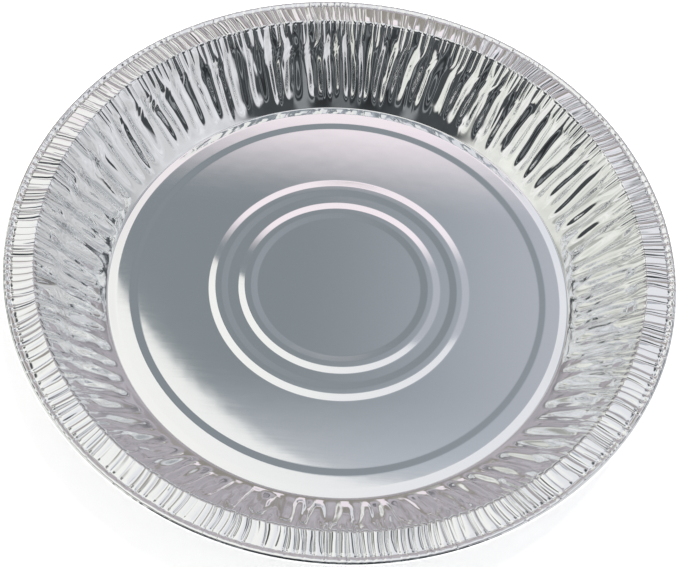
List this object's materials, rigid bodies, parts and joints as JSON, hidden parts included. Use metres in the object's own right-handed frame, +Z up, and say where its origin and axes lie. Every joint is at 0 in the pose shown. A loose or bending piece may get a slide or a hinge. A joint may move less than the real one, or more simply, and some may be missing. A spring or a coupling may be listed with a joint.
{
  "type": "foil pie tin",
  "caption": "Round pressed foil pie tin with a beaded base, a fluted sloping wall, a crimped flange and a rolled edge.",
  "frame": {"origin": "middle of the base, on the plane the tin rests on", "axes": "+Z up, along the axis of the tin; -Y towards the camera of the picture"},
  "size_m": [0.2218, 0.2218, 0.0258],
  "materials": {
    "foil": "bright rolled foil, satin on the flat base"
  },
  "bodies": {
    "root": {"pie_tin": "foil"}
  },
  "joints": []
}
